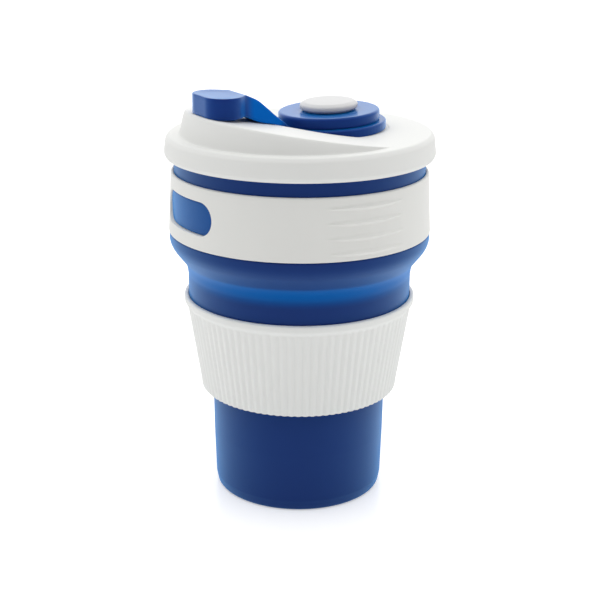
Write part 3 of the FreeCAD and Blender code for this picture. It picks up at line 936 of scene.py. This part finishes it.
def add_lid_rim(lid):
    """Rounded rim, skirt and plug wall, following the plate's lean at their top."""
    columns = []
    for k in range(RIM_COLUMNS):
        angle = TURN * k / RIM_COLUMNS
        edge = plate_height(LID_PLATE_EDGE * math.sin(angle))
        rim = rounded([
            (LID_PLATE_EDGE, edge, 0),
            (43.5, edge, 1.3),
            (44.75, edge - 1.35, 2.0),
            (45.05, 122.0, 20),
            (45.39, 119.2, 0.9),
            (44.8, 117.8, 0.5),
            (43.2, 117.8, 0.4),
            (43.2, UNDERSIDE, 0.5),
            (40.3, UNDERSIDE, 0.5),
            (40.3, 119.0, 0.7),
            (UNDERSIDE_EDGE, 119.0, 0.7),
            (UNDERSIDE_EDGE, UNDERSIDE, 0),
        ], closed=False)
        columns.append([Vector((p.x * math.cos(angle), p.x * math.sin(angle), p.y))
                        for p in rim])
    lid.add_rows([list(row) for row in zip(*columns)])


def make_lid():
    lid = Builder()
    add_lid_top(lid)
    add_lid_under(lid)
    add_lid_holes(lid)
    add_lid_rim(lid)
    return dress(lid.finish("lid_shell"), LID_WHITE, "lid", "lid_white", "lid")


# ---- closure ----

RING_RADIUS = 19.0
RING_TOP = 3.0
RING_BOTTOM = 0.05
STRAP_HALF = 6.0
STOPPER_HALF = 10.4
STOPPER_END = 36.9
STOPPER_CORNER = 6.5
STOPPER_REAR = 6.0
STOPPER_NARROWING = math.radians(40)
STOPPER_LOW = 133.3
STOPPER_DISH = 0.3
PLUG_RADIUS = 4.95
PLUG_FILLET = 0.4
STOPPER_HEIGHT = STOPPER_TOP / MM

STRAP_TOP_LINE = [(5.4, 123.5), (6.3, 126.6), (7.2, 128.3), (8.4, 129.4), (10.5, 131.1),
                  (12.8, 132.9), (16.1, 135.8), (19.2, 138.2), (22.0, 139.5),
                  (23.6, STOPPER_HEIGHT), (26.0, STOPPER_HEIGHT), (40.0, STOPPER_HEIGHT)]
STRAP_LOW_LINE = [(6.9, 123.8), (7.6, 125.5), (8.4, 127.0), (10.6, 128.7), (12.9, 129.75),
                  (16.5, 130.5), (19.4, 131.3), (21.6, 132.3), (24.0, STOPPER_LOW),
                  (40.0, STOPPER_LOW)]


def along_line(line, s):
    """A smooth curve through (distance, height) points."""
    if s <= line[0][0]:
        return line[0][1]
    if s >= line[-1][0]:
        return line[-1][1]
    i = max(k for k in range(len(line) - 1) if line[k][0] <= s)

    def slope(k):
        if k in (0, len(line) - 1):
            near = 1 if k == 0 else len(line) - 2
            return (line[near][1] - line[k][1]) / (line[near][0] - line[k][0])
        left = (line[k][1] - line[k - 1][1]) / (line[k][0] - line[k - 1][0])
        right = (line[k + 1][1] - line[k][1]) / (line[k + 1][0] - line[k][0])
        if left * right <= 0:
            return 0
        return 2 * left * right / (left + right)

    span = line[i + 1][0] - line[i][0]
    t = (s - line[i][0]) / span
    a, b = line[i][1], line[i + 1][1]
    da, db = slope(i) * span, slope(i + 1) * span
    return (a * (1 + 2 * t) * (1 - t) ** 2 + da * t * (1 - t) ** 2
            + b * t * t * (3 - 2 * t) + db * t * t * (t - 1))


def closure_outline():
    """Plan of ring, strap and stopper as one line, anticlockwise seen from above."""
    widest = STOPPER_END - STOPPER_CORNER
    side = [(STOPPER_HALF - STOPPER_CORNER * (1 - math.sin(a)),
             widest + STOPPER_CORNER * math.cos(a), 0) for a in quarter_turns(12)]
    for k in range(1, 7):
        a = STOPPER_NARROWING * k / 6
        side.append((STOPPER_HALF - STOPPER_REAR * (1 - math.cos(a)),
                     widest - STOPPER_REAR * math.sin(a), 0))
    x, s = side[-1][:2]
    side.append((STRAP_HALF, s - (x - STRAP_HALF) / math.tan(STOPPER_NARROWING), 7.0))
    junction = math.asin(STRAP_HALF / RING_RADIUS)
    corners = [(x, -s, r) for x, s, r in side]
    corners.append((STRAP_HALF, SEAT.y - RING_RADIUS * math.cos(junction), 1.6))
    around = 64
    for k in range(1, around):
        a = junction + 0.12 + (TURN - 2 * junction - 0.24) * (k - 1) / (around - 2)
        corners.append((RING_RADIUS * math.sin(a), SEAT.y - RING_RADIUS * math.cos(a), 0))
    corners.append((-STRAP_HALF, SEAT.y - RING_RADIUS * math.cos(junction), 1.6))
    corners += [(-x, -s, r) for x, s, r in reversed(side)]
    return divided(rounded(corners, steps=8), 0.55)


def inset_loop(outline, distance):
    """The outline moved inwards."""
    count = len(outline)
    loop = []
    for k in range(count):
        along = outline[(k + 1) % count] - outline[k - 1]
        inward = Vector((-along.y, along.x)).normalized()
        loop.append(outline[k] + inward * distance)
    return loop


def inside(outline, x, y):
    """Whether a point lies in a closed line."""
    odd = False
    before = outline[-1]
    for point in outline:
        if (point.y > y) != (before.y > y):
            at = before.x + (y - before.y) * (point.x - before.x) / (point.y - before.y)
            if x < at:
                odd = not odd
        before = point
    return odd


def edge_drop(inset, radius):
    """How far a rounded edge falls below the face, at a distance in from the side."""
    if inset >= radius:
        return 0
    return radius - math.sqrt(max(0, radius * radius - (radius - inset) ** 2))


def make_closure():
    outline = closure_outline()
    near = numpy.array([(p.x, p.y) for p in outline])

    def inset_of(x, y):
        return float(numpy.sqrt(((near - (x, y)) ** 2).sum(axis=1).min()))

    def top_radius(s):
        return 0.8 - 0.42 * smooth(5, 9, s)

    def top_face(y):
        s = -y
        ring = seat_height(y) + RING_TOP
        if s < 5:
            return ring
        return smooth_max(ring, along_line(STRAP_TOP_LINE, s), 0.5)

    def low_face(y):
        s = -y
        ring = seat_height(y) + RING_BOTTOM
        if s < 6.5:
            return ring
        low = smooth_max(ring, along_line(STRAP_LOW_LINE, s), 0.4)
        if s > 22:
            return max(low, incline(y) + 0.06)
        return low

    def top_height(x, y):
        inset = inset_of(x, y)
        s = -y
        dish = STOPPER_DISH * smooth(0.9, 4.5, inset) * smooth(23, 27, s)
        return top_face(y) - edge_drop(inset, top_radius(s)) - dish

    def low_height(x, y):
        return low_face(y) + edge_drop(inset_of(x, y), 0.3)

    insets = [0.0, 0.03, 0.08, 0.15, 0.24, 0.36, 0.5, 0.66, 0.85, 1.1]
    loops = [inset_loop(outline, d) for d in insets]
    plug_centre = Vector((0, -HOLE_DISTANCE, STOPPER_LOW))
    scatter = []
    for p in grid_points(20, -38, 31, 0.8):
        if inside(outline, p.x, p.y) and inset_of(p.x, p.y) > 1.5 \
                and math.hypot(p.x, p.y - SEAT.y) > PIN_HOLE + 0.5:
            scatter.append(p)
    pin_place = Matrix.Translation(SEAT) @ Matrix.Rotation(SEAT_TILT, 4, "X")
    pin_top = tilted_loop(pin_place @ Vector((0, 0, RING_TOP)), -SEAT_TILT, PIN_HOLE)
    pin_low = tilted_loop(pin_place @ Vector((0, 0, RING_BOTTOM)), -SEAT_TILT, PIN_HOLE)

    def pin_open(x, y):
        return math.hypot(x, y - SEAT.y) < PIN_HOLE - 0.02 or not inside(outline, x, y)

    plug_loop = tilted_loop(plug_centre, 0, PLUG_RADIUS + PLUG_FILLET)

    def low_open(x, y):
        return pin_open(x, y) or math.hypot(x, y + HOLE_DISTANCE) < PLUG_RADIUS + 0.38

    closure = Builder()
    closure.add(*plan_mesh(loops + [pin_top], scatter, top_height, pin_open))
    low_scatter = [p for p in scatter
                   if math.hypot(p.x, p.y + HOLE_DISTANCE) > PLUG_RADIUS + 0.9]
    closure.add(*plan_mesh(loops + [pin_low, plug_loop], low_scatter, low_height, low_open))
    closure.add_rows([pin_top, pin_low])
    upper = on_top(outline, top_height)
    lower = on_top(outline, low_height)
    steps = 6
    closure.add_rows([[a.lerp(b, k / steps) for a, b in zip(upper, lower)]
                      for k in range(steps + 1)])
    rings = [(PLUG_RADIUS + PLUG_FILLET * (1 - math.sin(a)), -PLUG_FILLET * (1 - math.cos(a)))
             for a in quarter_turns(4)]
    taper = rounded([(PLUG_RADIUS, -PLUG_FILLET, 0), (PLUG_RADIUS, -3.2, 1.5), (3.5, -5.9, 0.8),
                     (0.8, -6.0, 0)], closed=False)
    rings += [(p.x, p.y) for p in taper[1:]]
    rows = [plug_loop]
    for radius, rise in rings[1:]:
        lean = WEDGE_ANGLE * min(1, -rise / 1.2)
        rows += tilted_tube(plug_centre, lean, [(radius, rise)])
    closure.add_rows(rows)
    closure.add_cap(rows[-1])
    obj = closure.finish("closure")
    obj.data.materials.append(CLOSURE_BLUE)
    # painted glow of light shining through the strap
    paint_glow(obj, lambda p: band(11.5 * MM, 20 * MM, 4 * MM, -p.y))
    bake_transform(obj)
    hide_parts("strap_ring", "strap", "stopper")
    return obj


def make_disc():
    outline = rounded([
        (PIN_HOLE, 3.05, 0),
        (16.95, 3.05, 0.5),
        (17.1, 6.7, 1.0),
        (10.8, 6.55, 6),
        (9.9, 6.4, 0.8),
        (PIN_HOLE, 6.4, 0),
    ])
    scaled = [p * MM for p in divided(outline, 0.8)]
    disc = lathe("disc", scaled, columns=192, place=SEAT_PLACE)
    return dress(disc, CLOSURE_BLUE, "lid", "closure_blue", "pivot_disc")


def make_knob():
    outline = rounded([
        (0, -3.95, 0),
        (PIN_RADIUS, -3.95, 0.4),
        (PIN_RADIUS, 6.45, 0),
        (6.8, 6.45, 0.2),
        (6.8, 6.9, 0.2),
        (9.0, 6.8, 0.6),
        (9.7, 7.5, 0.7),
        (9.75, 8.7, 1.1),
        (8.4, 9.6, 1.8),
        (4.5, 9.85, 5),
        (0, 9.87, 0),
    ])
    scaled = [p * MM for p in divided(outline, 0.6)]
    knob = lathe("knob_cap", scaled, columns=144, place=SEAT_PLACE)
    return dress(knob, KNOB_WHITE, "knob", "knob_white", "pivot_button")


# ---- studio ----


FLOOR_GLOW = 0.12
FLOOR_GLOW_SEEN = 0.33  # as the camera sees it, so that it ends in the white behind


def make_floor():
    bpy.ops.mesh.primitive_circle_add(vertices=128, radius=6, fill_type="NGON")
    floor = bpy.context.object
    floor.name = "floor"
    material, tree, shader = new_material("floor_white", (0.94, 0.94, 0.94), 0.22, 0.35)
    shader.inputs["Emission Color"].default_value = (1, 1, 1, 1)
    eye = tree.nodes.new("ShaderNodeLightPath")
    lift = tree.nodes.new("ShaderNodeMapRange")
    lift.inputs["To Min"].default_value = FLOOR_GLOW
    lift.inputs["To Max"].default_value = FLOOR_GLOW_SEEN
    tree.links.new(eye.outputs["Is Camera Ray"], lift.inputs["Value"])
    tree.links.new(lift.outputs["Result"], shader.inputs["Emission Strength"])
    noise = tree.nodes.new("ShaderNodeTexNoise")
    noise.inputs["Scale"].default_value = 3
    spread = tree.nodes.new("ShaderNodeMapRange")
    spread.inputs["To Min"].default_value = 0.2
    spread.inputs["To Max"].default_value = 0.25
    tree.links.new(noise.outputs["Fac"], spread.inputs["Value"])
    tree.links.new(spread.outputs["Result"], shader.inputs["Roughness"])
    floor.data.materials.append(material)


VIEW_AZIMUTH = math.radians(60)
TO_CAMERA = Vector((math.sin(VIEW_AZIMUTH), -math.cos(VIEW_AZIMUTH), 0))


def ramp(tree, value, start, end, low_end, high_end):
    """A smooth change from low_end at value start to high_end at value end."""
    node = tree.nodes.new("ShaderNodeMapRange")
    node.interpolation_type = "SMOOTHSTEP"
    node.inputs["From Min"].default_value = start
    node.inputs["From Max"].default_value = end
    node.inputs["To Min"].default_value = low_end
    node.inputs["To Max"].default_value = high_end
    tree.links.new(value, node.inputs["Value"])
    return node.outputs["Result"]


def product(tree, a, b):
    node = tree.nodes.new("ShaderNodeMath")
    node.operation = "MULTIPLY"
    tree.links.new(a, node.inputs[0])
    tree.links.new(b, node.inputs[1])
    return node.outputs[0]


def make_world():
    """A white tent, bright above and behind, darker in front. It looks plain white itself."""
    world = bpy.data.worlds.new("tent")
    bpy.context.scene.world = world
    world.use_nodes = True
    tree = world.node_tree
    tree.nodes.clear()
    link = tree.links.new
    place = tree.nodes.new("ShaderNodeTexCoord")
    split = tree.nodes.new("ShaderNodeSeparateXYZ")
    link(place.outputs["Generated"], split.inputs[0])
    toward = tree.nodes.new("ShaderNodeVectorMath")
    toward.operation = "DOT_PRODUCT"
    toward.inputs[1].default_value = TO_CAMERA
    link(place.outputs["Generated"], toward.inputs[0])
    front = ramp(tree, toward.outputs["Value"], 0.1, 0.9, 0.80, 0.245)
    above = ramp(tree, split.outputs["Z"], 0.1, 0.85, 1.0, 1.8)
    behind = ramp(tree, toward.outputs["Value"], -0.6, -0.9, 1.0, 1.45)
    lit = tree.nodes.new("ShaderNodeBackground")
    lit.inputs["Color"].default_value = (1, 1, 1, 1)
    link(product(tree, product(tree, front, behind), above), lit.inputs["Strength"])
    seen = tree.nodes.new("ShaderNodeBackground")
    seen.inputs["Color"].default_value = (1, 1, 1, 1)
    seen.inputs["Strength"].default_value = 1
    path = tree.nodes.new("ShaderNodeLightPath")
    mix = tree.nodes.new("ShaderNodeMixShader")
    link(path.outputs["Is Camera Ray"], mix.inputs["Fac"])
    link(lit.outputs[0], mix.inputs[1])
    link(seen.outputs[0], mix.inputs[2])
    output = tree.nodes.new("ShaderNodeOutputWorld")
    link(mix.outputs[0], output.inputs["Surface"])
    bpy.context.scene.view_settings.view_transform = "Standard"


CAMERA_DISTANCE = 0.43736
CAMERA_HEIGHT = 0.20864
CAMERA_PITCH = math.radians(18.03)
CAMERA_ROLL = math.radians(0.35)
CAMERA_ASIDE = 0.31 * MM
CAMERA_LENS = 79.56


def make_camera():
    data = bpy.data.cameras.new("camera")
    data.lens = CAMERA_LENS
    data.sensor_width = 36
    data.clip_start = 0.01
    camera = bpy.data.objects.new("camera", data)
    bpy.context.scene.collection.objects.link(camera)
    forward = -TO_CAMERA * math.cos(CAMERA_PITCH) - Vector((0, 0, math.sin(CAMERA_PITCH)))
    turn = forward.to_track_quat("-Z", "Y").to_matrix().to_4x4()
    right = turn @ Vector((1, 0, 0))
    spot = TO_CAMERA * CAMERA_DISTANCE + Vector((0, 0, CAMERA_HEIGHT)) + right * CAMERA_ASIDE
    roll = Matrix.Rotation(CAMERA_ROLL, 4, "Z")
    camera.matrix_world = Matrix.Translation(spot) @ turn @ roll
    bpy.context.scene.camera = camera


make_cup_lower()
make_cup_upper()
make_window_pad("window_pad_front", -1)
make_window_pad("window_pad_back", 1)
make_collar()
make_sleeve()
make_lid()
make_closure()
make_disc()
make_knob()
ring_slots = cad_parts["retaining_ring"].data.materials
ring_slots.clear()
ring_slots.append(KNOB_WHITE)
make_floor()
make_world()
make_camera()
